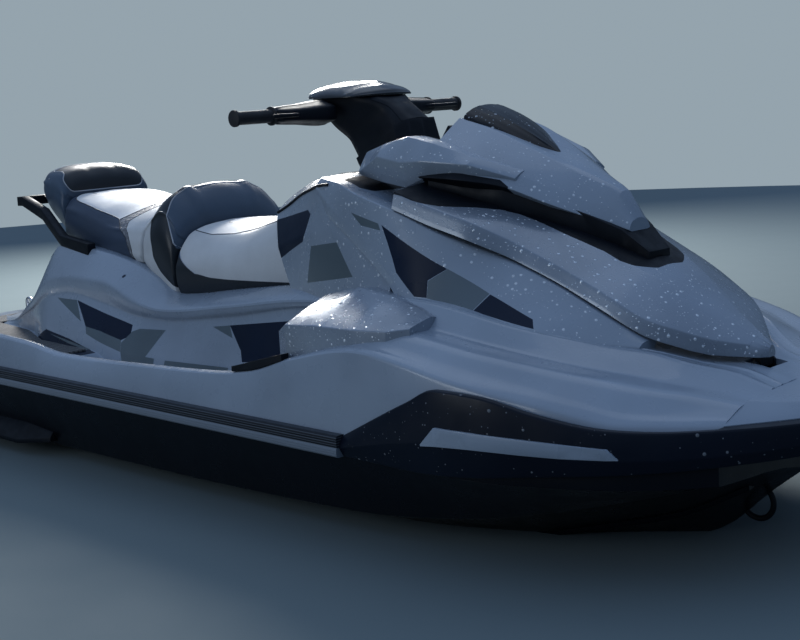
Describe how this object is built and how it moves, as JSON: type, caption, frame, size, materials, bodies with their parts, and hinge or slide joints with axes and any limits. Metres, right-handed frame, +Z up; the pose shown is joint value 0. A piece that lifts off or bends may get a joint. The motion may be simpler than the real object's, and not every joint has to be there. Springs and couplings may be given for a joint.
{
  "type": "personal watercraft",
  "caption": "Sit-on jet-driven watercraft with a stepped seat, handlebar steering, opening hood, steering nozzle, reverse bucket and folding step.",
  "frame": {"origin": "on the centreline, half way along the craft, at the waterline", "axes": "+X forward to the bow, +Y to port, +Z up"},
  "size_m": [3.36, 1.248, 1.186],
  "materials": {
    "hull_black": "gloss",
    "shell_silver": "gloss",
    "shell_metallic": "metallic",
    "trim_black": "satin",
    "insert_silver": "gloss",
    "cast_aluminium": "cast",
    "stainless": "brushed",
    "bar_metal": "satin",
    "grip_rubber": "moulded",
    "mat_foam": "embossed",
    "seat_vinyl": "grained",
    "display_dark": "gloss",
    "mirror_face": "mirror",
    "visor_smoke": "smoked",
    "engine_block": "plain"
  },
  "bodies": {
    "root": {"hull": "hull_black", "deck": "shell_silver", "rub_rail": "trim_black", "bumper_port": "trim_black", "bumper_starboard": "trim_black", "bow_bumper": "trim_black", "bumper_inserts": "insert_silver", "sponsons": "hull_black", "ride_plate": "cast_aluminium", "intake_grate": "cast_aluminium", "pump_housing": "cast_aluminium", "bucket_brackets": "cast_aluminium", "bow_eye": "trim_black", "stern_eyes": "stainless", "tow_eye": "stainless", "step_brackets": "stainless", "grab_handle": "trim_black", "platform_mat": "mat_foam", "footwell_mats": "mat_foam", "cleats": "trim_black", "side_pod_port": "shell_silver", "side_pod_starboard": "shell_silver", "side_cowl_port": "shell_silver", "side_cowl_starboard": "shell_silver", "console": "shell_silver", "steering_base": "trim_black", "display_pod": "trim_black", "display_glass": "display_dark", "hood_hinge": "stainless", "front_seat": "seat_vinyl", "driver_backrest": "seat_vinyl", "rear_seat": "seat_vinyl", "rear_bolster": "seat_vinyl", "engine": "engine_block"},
    "steering": {"handlebar_neck": "trim_black", "handlebar": "bar_metal", "bar_pad": "trim_black", "grip_port": "grip_rubber", "grip_starboard": "grip_rubber", "switch_housing_port": "trim_black", "throttle_housing_starboard": "trim_black"},
    "nozzle": {"steering_nozzle": "cast_aluminium"},
    "bucket": {"reverse_bucket": "trim_black"},
    "impeller": {"impeller": "stainless"},
    "hood": {"hood": "shell_metallic", "upper_cowl": "shell_metallic", "cowl_recess": "trim_black", "mirror_pod_port": "shell_metallic", "mirror_pod_starboard": "shell_metallic", "mirror_glasses": "mirror_face", "visor": "visor_smoke"},
    "lid": {"glovebox_lid": "trim_black"},
    "step": {"reboarding_step": "stainless"}
  },
  "joints": [
    {"name": "steering", "type": "hinge", "parent": "root", "child": "steering", "pos_m": [0.304, 0, 0.885], "axis": [-0.5, 0, 0.866], "range_deg": [-22, 22]},
    {"name": "nozzle_steer", "type": "hinge", "parent": "root", "child": "nozzle", "pos_m": [-1.515, 0, -0.005], "axis": [0, 0, 1], "range_deg": [-22, 22]},
    {"name": "reverse_bucket", "type": "hinge", "parent": "root", "child": "bucket", "pos_m": [-1.53, 0, -0.005], "axis": [0, -1, 0], "range_deg": [0, 60]},
    {"name": "impeller_spin", "type": "hinge", "parent": "root", "child": "impeller", "pos_m": [-1.24, 0, -0.005], "axis": [1, 0, 0], "continuous": true},
    {"name": "hood_open", "type": "hinge", "parent": "root", "child": "hood", "pos_m": [1.376, 0, 0.398], "axis": [0, 1, 0], "range_deg": [0, 45]},
    {"name": "glovebox_open", "type": "hinge", "parent": "root", "child": "lid", "pos_m": [0.19097, 0, 0.80098], "axis": [0, 1, 0], "range_deg": [0, 60]},
    {"name": "step_fold", "type": "hinge", "parent": "root", "child": "step", "pos_m": [-1.594, 0, 0.025], "axis": [0, -1, 0], "range_deg": [0, 135]}
  ],
  "couplings": [
    {"joint": "nozzle_steer", "follows": "steering", "ratio": -1}
  ]
}
